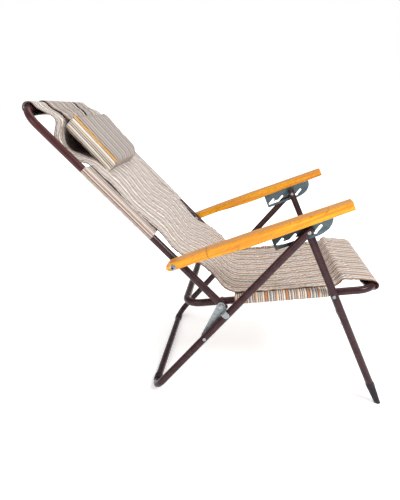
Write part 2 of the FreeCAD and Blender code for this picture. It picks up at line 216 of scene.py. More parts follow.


# galvanised links and comb plates; the combs are told by their height, combFrom, and their colours are
# painted shade over a teal tint, the darkest a painted shadow behind the near pin
plate = {"dark": tone(118, 126, 130), "light": tone(156, 162, 164), "grain": tone(168, 173, 176),
         "comb": tone(62, 84, 92), "nearCombShade": tone(26, 36, 38), "combFrom": (0.44, 0.50),
         "cells": 160.0, "rough": 0.36}


def plateBuild(start):
    # crystal cells of differing blue grey under a brushed grain; the combs are darker by painted shade over a
    # teal tint, the near one almost black behind the pin by a painted shadow under the armrest
    p = place(start)
    x, y, z = p.part(0), p.part(1), p.part(2)
    flakes = p.add("TexVoronoi", {"Vector": p, "Scale": plate["cells"]}, "Color").part(0)
    grain = p.noise(600.0)
    blot = p.noise(70.0).ease(0.45, 0.7)
    comb = z.ease(*plate["combFrom"])
    shadeBehindPin = comb * y.ease(0.0, -0.1) * x.ease(0.30, 0.25)
    base = flakes.blend(plate["dark"], plate["light"])
    base = (grain.ease(0.4, 0.7) * 0.4).blend(base, plate["grain"])
    # painted shade: the combs darker, over a teal tint
    base = (comb * (0.75 + blot * 0.15)).blend(base, plate["comb"])
    # painted shadow: the near comb almost black behind the pin, under the armrest
    base = (shadeBehindPin * 0.85).blend(base, plate["nearCombShade"])
    return {"Base Color": base, "Metallic": 0.75, "Roughness": plate["rough"] + flakes * 0.16,
            "Normal": bump(grain, strength=0.2, distance=0.0003)}


# black plastic feet, clips, plugs and spacers
plastic = {"base": tone(34, 28, 34), "worn": tone(58, 50, 60), "rough": 0.42}


def plasticBuild(start):
    # one tone, paler where a broad noise is high, with a fine moulded grain
    p = place(start)
    grain = p.noise(1200.0, detail=2.0)
    wear = p.noise(60.0, detail=4.0).ease(0.45, 0.7)
    return {"Base Color": wear.blend(plastic["base"], plastic["worn"]),
            "Roughness": plastic["rough"] + grain * 0.2,
            "Normal": bump(grain, strength=0.25, distance=0.0003)}


# zinc pins, rivets and bolts; pins are the side view places that carry a ring of painted shade
zinc = {"bright": (tone(138, 142, 144), tone(186, 188, 190)),
        "dull": (tone(96, 98, 102), tone(168, 170, 174)),
        "speck": tone(86, 88, 92), "ringShade": tone(44, 44, 48), "hole": tone(14, 14, 16),
        "pins": [(0.2671, 0.5369), (0.3532, 0.3438), (-0.00923, 0.20288)],
        "ringIn": (0.0042, 0.0050), "ringOut": (0.0074, 0.0068), "holeEdge": (0.0034, 0.0026), "rough": 0.24}


def away(p, centre):
    # distance in side view from a pin's axis: the root of the squares' sum
    x, z = p.part(0) - float(centre[0]), p.part(2) - float(centre[1])
    return (x * x + z * z).calc("SQRT")


def zincBuild(tones, hole=False):
    # cloudy patches and dark specks; painted shade as a ring of distance round each pin, and in the bolt's
    # socket as its dark middle
    def build(start):
        p = place(start)
        grain = p.noise(1500.0, detail=2.0)
        base = p.noise(90.0).ease(0.3, 0.7).blend(*tones)
        base = p.noise(420.0, detail=2.0).ease(0.55, 0.7).blend(base, zinc["speck"])
        for pin in zinc["pins"]:
            off = away(p, pin)
            # painted shade: a dark ring round each pin
            ring = off.ease(*zinc["ringIn"]) * off.ease(*zinc["ringOut"])
            base = (ring * 0.85).blend(base, zinc["ringShade"])
        if hole:
            # painted shade in the bolt's socket
            base = away(p, armBolt).ease(*zinc["holeEdge"]).blend(base, zinc["hole"])
        return {"Base Color": base, "Metallic": 0.9, "Roughness": zinc["rough"] + grain * 0.2,
                "Normal": bump(grain, strength=0.15, distance=0.0002)}
    return build


# varnished bamboo armrests; tilt is their slope at rest, nodeAt the node's distance along that slope
bamboo = {"dark": tone(206, 122, 8), "light": tone(240, 170, 16), "deep": tone(190, 100, 6),
          "pale": tone(246, 190, 48), "top": tone(206, 142, 76), "node": tone(120, 66, 20),
          "scuff": tone(120, 68, 8), "tilt": math.radians(22.5), "nodeAt": 0.186, "rough": 0.26}


def bambooBuild(start):
    # long fibres: noise on the distances along, across and deep, far finer across; the node is a thin line
    # where the distance along meets it, bent by noise, and the scuffs are short strokes that slant
    p = place(start)
    x, y, z = p.part(0), p.part(1), p.part(2)
    along = x * math.cos(bamboo["tilt"]) + z * math.sin(bamboo["tilt"])
    deep = z * math.cos(bamboo["tilt"]) - x * math.sin(bamboo["tilt"])
    slant = deep * 0.8 - along * 0.6
    streak = start.vector(along * 9.0, y * 420.0, deep * 420.0).noise(detail=4.0, rough=0.6)
    broad = start.vector(along * 4.0, y * 90.0, deep * 90.0).noise(detail=2.0)
    blotch = start.vector(along * 30.0, y * 50.0, deep * 50.0).noise()
    scuff = start.vector(along * 40.0, y * 300.0, slant * 720.0).noise().ease(0.5, 0.7)
    upward = start.add("TexCoord", output="Normal").part(2).ease(0.5, 0.85)
    bent = along + broad * 0.010 - bamboo["nodeAt"]
    onNear = y.ease(-0.2, -0.25)
    node = bent.calc("ABSOLUTE").ease(0.0026, 0.0006) * onNear
    base = streak.ease(0.25, 0.75).blend(bamboo["dark"], bamboo["light"])
    base = (broad.ease(0.5, 0.72) * 0.5).blend(base, bamboo["deep"])
    base = (blotch.ease(0.6, 0.8) * 0.2).blend(base, bamboo["pale"])
    base = (upward * 0.6).blend(base, bamboo["top"])
    base = (node * 0.6).blend(base, bamboo["node"])
    base = (scuff * 0.6).blend(base, bamboo["scuff"])
    height = streak * 0.5 + (node * -0.8) - scuff * 0.2
    return {"Base Color": base, "Roughness": bamboo["rough"] + streak * 0.14,
            "Normal": bump(height, strength=0.3, distance=0.0006)}


# stripe patterns: the repeat in metres, then where each line starts in it, in millimetres, and its colour
patterns = {
    "soft": (0.0525, [
        (0.0, (255, 246, 236)), (5.4, (88, 74, 70)), (8.0, (204, 176, 156)), (11.4, (248, 236, 224)),
        (13.8, (92, 70, 58)), (16.4, (196, 166, 144)), (19.0, (86, 70, 68)), (21.4, (232, 228, 228)),
        (26.2, (98, 92, 98)), (28.8, (246, 242, 240)), (32.6, (104, 98, 106)), (35.0, (238, 228, 220)),
        (38.8, (96, 78, 72)), (41.2, (214, 192, 174)), (44.8, (92, 72, 62)), (47.6, (240, 228, 218))]),
    "seat": (0.0525, [
        (0.0, (255, 250, 244)), (5.0, (92, 76, 70)), (7.4, (226, 196, 160)), (11.0, (208, 124, 44)),
        (14.6, (84, 64, 54)), (17.0, (255, 246, 236)), (22.6, (158, 148, 154)), (26.0, (236, 224, 212)),
        (29.0, (92, 80, 88)), (31.8, (255, 248, 240)), (37.0, (132, 112, 100)), (39.8, (222, 170, 104)),
        (43.4, (82, 64, 56)), (46.2, (212, 202, 200)), (49.4, (98, 82, 80))]),
    "band": (0.0210, [
        (0.0, (255, 246, 238)), (4.6, (128, 98, 86)), (6.4, (206, 178, 162)), (9.4, (84, 60, 52)),
        (11.8, (234, 216, 204)), (15.0, (118, 88, 76)), (16.8, (204, 174, 158))]),
    "bold": (0.0210, [
        (0.0, (246, 238, 226)), (5.0, (58, 50, 50)), (7.6, (236, 226, 212)), (10.6, (66, 58, 58)),
        (13.4, (238, 224, 200)), (17.0, (104, 92, 88)), (18.6, (232, 220, 204))]),
    "vivid": (0.0525, [
        (0.0, (246, 232, 212)), (4.2, (84, 80, 86)), (6.8, (208, 124, 54)), (12.2, (70, 64, 70)),
        (14.4, (240, 224, 200)), (17.6, (96, 92, 98)), (19.8, (150, 146, 150)), (23.2, (243, 231, 214)),
        (26.2, (84, 80, 88)), (28.6, (196, 186, 178)), (31.4, (90, 84, 90)), (33.4, (212, 152, 92)),
        (37.0, (244, 230, 212)), (40.2, (88, 84, 90)), (42.6, (226, 214, 198)), (45.6, (122, 84, 58)),
        (48.0, (236, 220, 200)), (50.4, (104, 98, 102))])}

# cloths: which strong lines they have and their share against the soft ones, the brightness at shares 0 and
# 1, how far the pattern is stretched and shifted, and the half width that ends in a dark hem
cloths = {
    "sling": {"lines": "seat", "share": lambda u, v: v.ease(0.60, 0.90), "gain": (0.91, 0.84),
              "edge": slingHalf},
    "band": {"lines": "band", "share": lambda u, v: 1.0, "gain": (0.7, 0.7), "stretch": 1.15},
    "cross": {"lines": "vivid", "share": lambda u, v: 1.0, "gain": (0.8, 0.8), "stretch": 1.15},
    "pillow": {"lines": "bold", "share": lambda u, v: u.ease(-0.1405, -0.1415), "gain": (0.62, 0.88),
               "shift": -0.0138},
    "flap": {"lines": "seat", "share": lambda u, v: 0.35, "gain": (0.74, 0.74), "stretch": 1.7}}

# what all the cloths share: the colours of threads, flecks, hem and inner shade, and the threads in a metre
weave = {"thread": tone(120, 106, 98), "fleck": tone(250, 242, 232), "darkEdge": tone(44, 38, 40),
         "shade": tone(78, 38, 26), "threads": 5200.0, "hemWide": (0.0046, 0.0036), "rough": 0.88}


def stripes(across, lines):
    # colour lines along the cloth: one ramp, read at the fraction of the distance across over the repeat
    repeat, stops = patterns[lines]
    ramp = across.add("ValToRGB", {0: (across / repeat).calc("FRACT")})
    strip = ramp.out.node.color_ramp
    strip.interpolation = "CONSTANT"
    strip.elements.remove(strip.elements[-1])
    for i, (at, rgb) in enumerate(stops):
        stop = strip.elements[0] if i == 0 else strip.elements.new(at / 1000 / repeat)
        stop.color = tone(*rgb)
    return ramp


def clothBuild(lines, share, gain, stretch=1.0, shift=0.0, edge=None):
    # stripes by the distance u across the cloth, bent a little, with slubs drawn out along v, flecks, a dark
    # hem, the attribute's third value as a shade, and a bump of warp sine times weft sine
    def build(start):
        cloth = start.add("Attribute", attribute_name="cloth", output="Vector")
        u, v, shade = cloth.part(0), cloth.part(1), cloth.part(2)
        wander = start.vector(u * 40.0, v * 6.0, 0.0).noise(detail=2.0)
        across = (u + (wander - 0.5) * 0.0012) / stretch + shift
        strong = share(u, v)
        base = start.add("Mix", {0: strong, 6: stripes(across, "soft"), 7: stripes(across, lines)}, 2,
                         data_type="RGBA")
        slub = start.vector(u * 1500.0, v * 70.0, 0.0).noise(detail=2.0)
        fleck = start.vector(u * 520.0, v * 260.0, 0.0).noise(detail=1.0)
        base = (slub.ease(0.35, 0.75) * 0.32).blend(base, weave["thread"])
        base = (fleck.ease(0.45, 0.7) * 0.22).blend(base, weave["fleck"])
        if edge:
            darkEdge = u.calc("ABSOLUTE").ease(edge - weave["hemWide"][0], edge - weave["hemWide"][1])
            base = (darkEdge * 0.85).blend(base, weave["darkEdge"])
        base = (shade * 0.76).blend(base, weave["shade"])
        level = strong * (gain[1] - gain[0]) + gain[0]
        base = start.add("VectorMath", {0: base, 3: level}, operation="SCALE")
        warp = (u * weave["threads"]).calc("SINE")
        weft = (v * weave["threads"]).calc("SINE")
        height = warp * weft * 0.35 + slub + wander * 0.5
        return {"Base Color": base, "Roughness": weave["rough"],
                "Normal": bump(height, strength=0.35, distance=0.0006)}
    return build


def pipingBuild(start):
    # twisted cord: light and dark strands by the sine of a distance that slants round it
    cloth = start.add("Attribute", attribute_name="cloth", output="Vector")
    strand = (cloth.part(0) * 900.0 + cloth.part(1) * 1400.0).calc("SINE")
    base = strand.ease(-0.6, 0.8).blend(tone(196, 128, 36), tone(246, 186, 66))
    return {"Base Color": base, "Roughness": 0.7, "Normal": bump(strand, strength=0.4, distance=0.0008)}


mats = {
    "tube_paint": surface("tubePaint", paintBuild, Specular_IOR_Level=0.28),
    "galvanised_plate": surface("galvanised", plateBuild),
    "black_plastic": surface("blackPlastic", plasticBuild, Specular_IOR_Level=0.2),
    "zinc_hardware": surface("zinc", zincBuild(zinc["bright"])),
    "dark_bolt": surface("socketBolt", zincBuild(zinc["dull"], hole=True)),
    "bamboo": surface("bamboo", bambooBuild, Coat_Weight=0.15, Coat_Roughness=0.15, Specular_IOR_Level=0.3),
    "sling_cloth": surface("slingCloth", clothBuild(**cloths["sling"])),
    "band_cloth": surface("bandCloth", clothBuild(**cloths["band"])),
    "pillow_cloth": surface("pillowCloth", clothBuild(**cloths["pillow"]))}
flapCloth = surface("flapCloth", clothBuild(**cloths["flap"]))
crossCloth = surface("crossCloth", clothBuild(**cloths["cross"]))
pipingCloth = surface("piping", pipingBuild)
slots = {row["node"]: row["material_slot"] for row in frame["record"]["subparts"]}
for name, node in frame["nodes"].items():
    node.data.materials.clear()
    node.data.materials.append(mats[slots[name]])
print("materials made")


def outward(points, quads):
    # a closed mesh's faces, turned over where the volume that they enclose comes out negative
    a, b, c, d = (points[quads[:, k]] for k in range(4))
    volume = (a * (np.cross(b, c) + np.cross(c, d))).sum()
    return quads if volume > 0 else quads[:, ::-1]


def makeMesh(name, points, faces, mat, uv):
    # smooth mesh from arrays; uv becomes the attribute that the cloth materials read
    mesh = bpy.data.meshes.new(name)
    points = points.reshape(-1, 3)
    if isinstance(faces, np.ndarray):
        faces = outward(points, faces).tolist()
    mesh.from_pydata(points.tolist(), [], faces)
    layer = mesh.attributes.new("cloth", "FLOAT_VECTOR", "POINT")
    flat = np.zeros((len(mesh.vertices), 3), np.float32)
    flat[:, :uv.shape[-1]] = uv.reshape(-1, uv.shape[-1])
    layer.data.foreach_set("vector", flat.ravel())
    mesh.materials.append(mat)
    mesh.polygons.foreach_set("use_smooth", [True] * len(mesh.polygons))
    obj = bpy.data.objects.new(name, mesh)
    bpy.context.collection.objects.link(obj)
    return obj


def readPoints(mesh):
    # a mesh's vertices, one row each
    flat = np.zeros(len(mesh.vertices) * 3, np.float32)
    mesh.vertices.foreach_get("co", flat)
    return flat.reshape(-1, 3).astype(float)


def writePoints(mesh, points):
    mesh.vertices.foreach_set("co", points.astype(np.float32).ravel())
    mesh.update()


def gridQuads(rows, cols, start=0, flip=False, wrap=False):
    # faces of a grid of rows by cols vertices; wrap closes it across the columns
    last = cols if wrap else cols - 1
    i, j = np.meshgrid(np.arange(rows - 1), np.arange(last), indexing="ij")
    k = (j + 1) % cols
    quads = np.stack([i * cols + j, i * cols + k, (i + 1) * cols + k, (i + 1) * cols + j], -1).reshape(-1, 4)
    return (quads[:, ::-1] if flip else quads) + start


def gridNormals(grid):
    # unit cross product of the grid's two directions
    n = np.cross(np.gradient(grid, axis=0), np.gradient(grid, axis=1))
    return n / np.maximum(np.linalg.norm(n, axis=2, keepdims=True), 1e-9)


def clothSheet(name, grid, uv, thick, mat):
    # closed thin cloth: the grid is its upper face, the lower one lies a thickness below, a rim joins them
    rows, cols = grid.shape[:2]
    low = grid - gridNormals(grid) * thick
    points = np.concatenate([grid.reshape(-1, 3), low.reshape(-1, 3)])
    count = rows * cols
    edge = np.concatenate([np.arange(cols), np.arange(1, rows) * cols + cols - 1,
                           (rows - 1) * cols + np.arange(cols - 2, -1, -1),
                           np.arange(rows - 2, 0, -1) * cols])
    after = np.roll(edge, -1)
    rim = np.stack([edge, after, after + count, edge + count], -1)
    quads = np.concatenate([gridQuads(rows, cols), gridQuads(rows, cols, count, flip=True), rim[:, ::-1]])
    return makeMesh(name, points, quads, mat, np.concatenate([uv.reshape(-1, uv.shape[-1])] * 2))


def runLength(points):
    # distance from the first point to each, along the line
    return np.concatenate([[0], np.cumsum(np.linalg.norm(np.diff(points, axis=0), axis=1))])


def spline(points, count, steps=24):
    # evenly spaced points on a curve through the given ones: each run is a cubic in t whose slope at a point
    # is half the way from the point before to the point after
    p = np.asarray(points, float)
    p = np.vstack([2 * p[0] - p[1], p, 2 * p[-1] - p[-2]])
    t = np.linspace(0, 1, steps, endpoint=False)[:, None]
    runs = []
    for a, b, c, d in zip(p[:-3], p[1:-2], p[2:-1], p[3:]):
        runs.append(0.5 * (2 * b + (c - a) * t + (2 * a - 5 * b + 4 * c - d) * t ** 2
                           + (3 * b - a - 3 * c + d) * t ** 3))
    line = np.vstack(runs + [p[-2:-1]])
    far = runLength(line)
    s = np.linspace(0, far[-1], count)
    return np.stack([np.interp(s, far, line[:, k]) for k in range(line.shape[1])], -1), s


def wave(values, seed, count=5, low=2.0, high=9.0):
    # smooth random ripple, about -1 to 1: a few sines of random wave numbers, over the root of their count
    rng = np.random.default_rng(seed)
    out = 0
    for _ in range(count):
        k = rng.uniform(low, high, len(values))
        out = out + np.sin(sum(v * f for v, f in zip(values, k)) * 2 * math.pi + rng.uniform(0, 6.28))
    return out / count ** 0.5


def hump(value, middle, width):
    # bell of height 1: the exponential of minus the squared distance over the width
    return np.exp(-((value - middle) / width) ** 2)


def span(value, low, high):
    # 0 at low and 1 at high, straight between and flat beyond
    return np.clip((value - low) / (high - low), 0, 1)


def roundBar(bar, loft, degrees):
    # (along, out) pairs on a circle round a bar: along = bar + loft * sine, out = loft * cosine
    return [(bar * 1000 + loft * math.sin(a), loft * math.cos(a)) for a in np.radians(degrees)]


def overBar(side, s):
    # how far along its length a cloth passes over the highest part of the top bar, which is a little ahead
    # of the bar's middle and as much out of it
    crest = onBack(topBar * 1000 + 9.0, 9.0)
    return s[np.argmin(np.linalg.norm(side - crest, axis=1))]


def liftedGrid(side, y, lift):
    # grid point = the side line's point + lift * the line's direction turned a quarter outward, at y
    ways = np.gradient(side, axis=0)
    ways /= np.linalg.norm(ways, axis=1, keepdims=True)
    grid = np.zeros((*lift.shape, 3))
    grid[..., 0] = side[:, None, 0] - ways[:, None, 1] * lift
    grid[..., 1] = y
    grid[..., 2] = side[:, None, 1] + ways[:, None, 0] * lift
    return grid


# sling: one cloth from behind the top bar, slack below the head, waving down the back, round the bend and
# along the seat to under the front bar. Its side line is in millimetres along the back or seat, and out of it
sling = {
    "rows": 500, "cols": 92, "thick": 0.0012, "loft": 12.6, "seatNear": 0.1, "seatBefore": 0.2,
    "hemBehind": [(728.0, 21.5), (738.0, 10.0), (750.0, -6.0), (765.0, -12.6)],
    "overTop": (150, 120, 90, 60, 30),
    "downBack": [(771, 12.6), (760, 14.0), (745, 19.5), (725, 28.5), (706, 33.0), (694, 29.5), (683, 13.0),
                 (670, -8.0), (654, -20.0), (636, -22.5), (612, -15.0), (588, -4.0), (565, 6.5), (540, 13.0),
                 (515, 15.0), (490, 15.5), (450, 15.0), (410, 14.5), (370, 14.5), (330, 15.0), (290, 15.5),
                 (250, 14.5), (210, 14.0), (178, 16.0), (155, 20.5), (140, 25.0)],
    "alongSeat": [(-52.4, 116.8), (-34.0, 98.0), (-17.0, 77.0), (-2.0, 53.0), (14.0, 31.0), (38.0, 15.5),
                  (70, 10.5), (110, 7.5), (160, 6.5), (220, 6.5), (270, 7.0), (300, 7.5), (320, 9.0),
                  (333, 12.5), (343, 20.0), (351, 28.0), (357, 31.5), (364, 31.0), (378, 28.0), (393, 25.0),
                  (410, 22.0), (427, 18.8), (440, 15.6)],
    "overFront": (45, 75, 105, 140, 175),
    "hemUnder": [(431.0, -11.5), (419.0, -3.0), (408.0, 9.5), (402.0, 16.5)],
    # waves down the back, in millimetres, and the places between which they come and go
    "waveHeight": 5.2, "wavePitch": 185, "waveFrom": 292, "waveSlant": 12, "waveEdge": 0.55,
    "waveTop": (560, 500), "waveFoot": (130, 200),
    # middle and width of each dip or ridge, and its height
    "slackAt": (640, 60), "slack": 9.0, "slackRipple": (2.2, 11.0, 1.3), "slackNarrow": 0.018,
    "nearDipAt": (578, 26), "nearDip": 8.0, "nearSink": 6.5, "farDipAt": (195, 40), "farDip": 4.0,
    "hollowFrom": (20, 80), "hollowTo": (330, 290), "hollow": 2.0, "hollowRim": 5.5,
    "ridgeAt": (356, 22), "ridge": 4.0, "ridgeTilt": 2.0, "ridgeBase": 1.5,
    "barWide": 0.034, "barLift": 3.5,
    # ripples: height, then waves along and across; they fade at freeTop and freeFront, near the bars
    "broadRipple": (0.8, 4.0, 0.9), "fineRipple": (0.45, 11.0, 2.0), "edgeRipple": (0.0008, 5.0, 0.3),
    "freeTop": (725, 700), "freeFront": (400, 385),
    # half light in the pocket behind the pillow, along the back and across it
    "pocketFoot": (552, 570), "pocketTop": (704, 690), "pocketSide": (0.122, 0.108)}
behind = roundBar(topBar, sling["loft"], sling["overTop"])


def buildSling():
    # the side line sweeps across the width and is lifted by a sum of waves, dips and ridges over A and S, the
    # distances along the back and the seat, and T, which is -1 at the near edge and 1 at the far one
    onSide = [onBack(*pair) for pair in sling["hemBehind"] + behind + sling["downBack"]]
    onSide += [onSeat(*pair) for pair in sling["alongSeat"]
               + roundBar(frontBar, sling["loft"], sling["overFront"]) + sling["hemUnder"]]
    side, s = spline(onSide, sling["rows"])
    y = np.linspace(-slingHalf, slingHalf, sling["cols"])
    rel = side - mainPivot
    # the seat begins where the line first comes near its plane, both limits in metres
    bend = np.argmax((rel @ seatOut < sling["seatNear"]) & (rel @ backWay < sling["seatBefore"]))
    seated = np.arange(sling["rows"]) >= bend
    A, T = np.meshgrid(np.where(seated, -1.0, rel @ backWay * 1000), y / slingHalf, indexing="ij")
    S = np.broadcast_to(np.where(seated, rel @ seatWay * 1000, -1.0)[:, None], A.shape)
    along = np.broadcast_to(s[:, None], A.shape)
    crown = 1 - T ** 2
    nearer = np.clip(-T, 0, 1) ** 3
    farther = np.clip(T, 0, 1)

    def ripple(name, seed, **limits):
        height, lengthwise, across = sling[name]
        return height * wave([along * lengthwise, T * across], seed, **limits)

    # down the back: waves of one pitch, higher in the middle than at the edges
    body = span(A, *sling["waveTop"]) * span(A, *sling["waveFoot"])
    turns = (A - sling["waveFrom"] - sling["waveSlant"] * T) / sling["wavePitch"]
    lift = sling["waveHeight"] * np.cos(turns * 2 * math.pi) * body * (1 - sling["waveEdge"] * T ** 2)
    lift -= sling["farDip"] * hump(A, *sling["farDipAt"]) * farther + sling["nearSink"] * body * nearer
    slack = hump(A, *sling["slackAt"])
    lift -= sling["slack"] * slack * crown + sling["nearDip"] * hump(A, *sling["nearDipAt"]) * nearer
    # along the seat: a shallow hollow between the tubes, a ridge before the front bar
    flat = span(S, *sling["hollowFrom"]) * span(S, *sling["hollowTo"])
    lift += flat * (sling["hollowRim"] * T ** 4 - sling["hollow"] * crown)
    ridge = sling["ridgeTilt"] * T + sling["ridge"] * crown - sling["ridgeBase"]
    lift += hump(S, *sling["ridgeAt"]) * ridge
    # small uneven ripples all over, fading at the two bars
    free = span(A, *sling["freeTop"]) * (A > 0) + span(S, *sling["freeFront"]) * (S > 0)
    free += (A < 0) * (S < 0)
    lift += free * (ripple("broadRipple", 3) + ripple("fineRipple", 4))
    lift += slack * ripple("slackRipple", 7, low=0.5, high=2.5)
    # over the top bar the cloth stands off the tube, more toward its near edge
    lift += hump(along, overBar(side, s), sling["barWide"]) * (sling["barLift"] - sling["barLift"] * T)
    wide = y[None] * (1 - sling["slackNarrow"] * slack)
    wide += ripple("edgeRipple", 11)
    grid = liftedGrid(side, wide, lift / 1000)
    pocket = span(A, *sling["pocketFoot"]) * span(A, *sling["pocketTop"])
    shade = pocket * span(np.abs(T) * slingHalf, *sling["pocketSide"])
    uv = np.stack([np.broadcast_to(y, A.shape), along, shade], -1)
    obj = clothSheet("sling", grid, uv, sling["thick"], mats["sling_cloth"])
    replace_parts(obj, "sling_back", "sling_seat")
    point(onSeat(60, 10))
    point(onBack(200, 15))
    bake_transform(obj)


buildSling()
print("sling made")

# support bands: where they start and stop along the frame, in millimetres, how far the upper run hangs, and
# the angle at which it leaves the tube; stripes run round the tubes where crosswise is true
seatBand = {"onFrame": onSeat, "start": 39.0, "stop": 308.0, "y": seatY, "sag": 0.013, "leaves": 86,
            "cloth": crossCloth, "crosswise": True,
            "node": "seat_support_band", "tube": "seat_frame", "body": "seat"}
backBand = {"onFrame": onBack, "start": 282.0, "stop": 545.0, "y": backY, "sag": 0.005, "leaves": 140,
            "cloth": mats["band_cloth"], "crosswise": False,
            "node": "back_support_band", "tube": "back_frame", "body": "back"}
bandShape = {"rows": 90, "steps": 26, "runSteps": 60, "proud": 0.0012, "thick": 0.0010, "ripple": 0.0004,
             "underSag": 0.0040, "underLeaves": -92}


def buildBand(name, band):
    # a closed loop across the chair, an arc round each side tube and two sagging runs of 4 * t * (1 - t)
    # between them, is carried along the frame and pushed outward by a ripple; the inner face follows inside
    start, stop, y = band["start"], band["stop"], band["y"]
    rows = bandShape["rows"]
    thick = bandShape["thick"]
    r = tubeR + bandShape["proud"]
    turn = np.radians(np.linspace(band["leaves"], bandShape["underLeaves"], bandShape["steps"]))
    right = np.stack([y + r * np.cos(turn), r * np.sin(turn)], -1)
    left = right * [-1, 1]
    t = np.linspace(0, 1, bandShape["runSteps"])[1:-1, None]
    hang = (4 * t * (1 - t))[:, 0]
    low = right[-1] + (left[-1] - right[-1]) * t
    low[:, 1] -= bandShape["underSag"] * hang
    high = left[0] + (right[0] - left[0]) * t
    high[:, 1] -= band["sag"] * hang
    loop = np.vstack([right, low, left[::-1], high])
    cols = len(loop)
    far = runLength(loop)
    along = np.linspace(start, stop, rows)
    L, J = np.meshgrid((along - start) / (stop - start), far, indexing="ij")
    ripple = bandShape["ripple"] * (1 + wave([L * 3, J * 2], 41, low=1.0, high=4.0))
    # outward direction: away from the tube's middle on the arcs, straight up or down between them
    around = np.arctan2(loop[:, 1], np.abs(loop[:, 0]) - y)
    push = np.stack([np.cos(around) * np.sign(loop[:, 0]), np.sin(around)], -1)
    inside = np.abs(loop[:, 0]) < y
    push[inside] = np.stack([np.zeros(inside.sum()), np.sign(loop[inside, 1])], -1)
    shape = loop[None] + push[None] * ripple[..., None]
    centre = np.array([band["onFrame"](a, 0) for a in along])
    way = band["onFrame"](0, 1000.0) - band["onFrame"](0, 0)
    outer = np.zeros((rows, cols, 3))
    outer[..., 0] = centre[:, None, 0] + way[0] * shape[..., 1]
    outer[..., 1] = shape[..., 0]
    outer[..., 2] = centre[:, None, 1] + way[1] * shape[..., 1]
    inner = outer - np.stack([way[0] * push[:, 1], push[:, 0], way[1] * push[:, 1]], -1)[None] * thick
    # the two faces, then a rim at each end
    count = rows * cols
    end = count - cols
    j = np.arange(cols)
    k = (j + 1) % cols
    quads = np.concatenate([
        gridQuads(rows, cols, wrap=True, flip=True), gridQuads(rows, cols, count, wrap=True),
        np.stack([j, k, k + count, j + count], -1),
        np.stack([end + k, end + j, end + j + count, end + k + count], -1)])
    a = np.broadcast_to(along[:, None] / 1000, (rows, cols))
    b = np.broadcast_to(far[None], (rows, cols))
    uv = np.stack([a, b] if band["crosswise"] else [b, a], -1).reshape(-1, 2)
    points = np.concatenate([outer.reshape(-1, 3), inner.reshape(-1, 3)])
    obj = makeMesh(name, points, quads, band["cloth"], np.concatenate([uv, uv]))
    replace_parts(obj, band["node"])
    (stop - start) / 1000
    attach(obj, band["body"])


buildBand("seat_band_cloth", seatBand)
buildBand("back_band_cloth", backBand)
print("bands made")

# pillow: a boxed cushion, its cloth blown out a little by a cloth simulation; low and high are metres along
# the back, stand and tilt lift it off the sling, corner says how the far lower corner gives way
cushion = {"low": 0.500, "high": 0.688, "half": 0.1425, "thick": 0.045, "grid": (38, 54, 9), "edge": 0.007,
           "stand": 34.5, "tilt": 8.0 / 185.0, "aside": 0.0035,
           "corner": (0.040, 0.085), "cornerGive": 9.0, "cornerAside": 0.6,
           "frames": 20, "cap": 0.006, "pressure": 4.0, "mass": 0.3, "tension": 25, "bending": 2.0}


def quadBox(counts):
    # the six faces of a box from -1 to 1, each a grid, with the vertices along its edges merged
    axes = [np.linspace(-1, 1, count) for count in counts]
    points = []
    quads = []
    start = 0
    for fixed, first, second in ((2, 0, 1), (0, 1, 2), (1, 2, 0)):
        for sign in (-1, 1):
            a, b = np.meshgrid(axes[first], axes[second], indexing="ij")
            p = np.zeros((*a.shape, 3))
            p[..., fixed] = sign
            p[..., first] = a
            p[..., second] = b
            points.append(p.reshape(-1, 3))
            quads.append(gridQuads(*a.shape, start, flip=sign < 0))
            start += a.size
    points = np.concatenate(points)
    key = np.round(points * 1e5).astype(np.int64)
    _, firstOf, back = np.unique(key, axis=0, return_index=True, return_inverse=True)
    return points[firstOf], back.reshape(-1)[np.concatenate(quads)]


def inflate(obj):
    # cloth simulation with inner pressure and no gravity; each point's movement is cut at the cap
    before = readPoints(obj.data)
    cloth = obj.modifiers.new("cloth", "CLOTH")
    cloth.settings.use_pressure = True
    cloth.settings.uniform_pressure_force = cushion["pressure"]
    cloth.settings.effector_weights.gravity = 0.0
    cloth.settings.mass = cushion["mass"]
    cloth.settings.tension_stiffness = cushion["tension"]
    cloth.settings.bending_stiffness = cushion["bending"]
    for f in range(1, cushion["frames"] + 1):
        bpy.context.scene.frame_set(f)
    move = readPoints(obj.evaluated_get(bpy.context.evaluated_depsgraph_get()).data) - before
    obj.modifiers.clear()
    length = np.linalg.norm(move, axis=1, keepdims=True)
    move *= np.minimum(1, cushion["cap"] / np.maximum(length, 1e-9))
    writePoints(obj.data, before + move)
    bpy.context.scene.frame_set(1)


